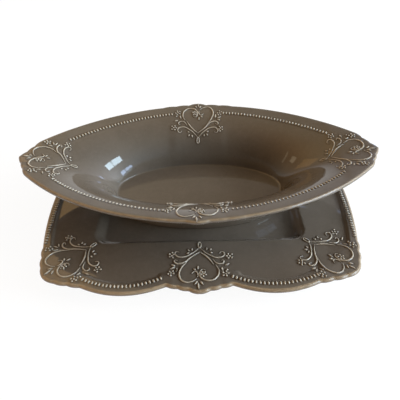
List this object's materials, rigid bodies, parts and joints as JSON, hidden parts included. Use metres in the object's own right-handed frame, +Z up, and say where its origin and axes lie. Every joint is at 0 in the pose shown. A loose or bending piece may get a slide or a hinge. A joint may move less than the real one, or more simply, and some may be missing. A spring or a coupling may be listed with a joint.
{
  "type": "vegetable serving dish",
  "caption": "Boat-shaped glazed dish with crested rim, standing in the well of a rectangular scalloped platter, for serving vegetables at table.",
  "frame": {"origin": "on the table, under the middle of the platter", "axes": "+X along the boat-shaped dish and the platter's long side, +Y towards the back, +Z up"},
  "size_m": [0.38, 0.2726, 0.0778],
  "materials": {
    "taupe_glaze": "gloss"
  },
  "bodies": {
    "platter": {"platter": "taupe_glaze"},
    "dish": {"vegetable_dish": "taupe_glaze"}
  },
  "joints": [
    {"name": "dish_lift", "type": "slide", "parent": "platter", "child": "dish", "axis": [0, 0, 1], "range_m": [0, 0.15]}
  ]
}
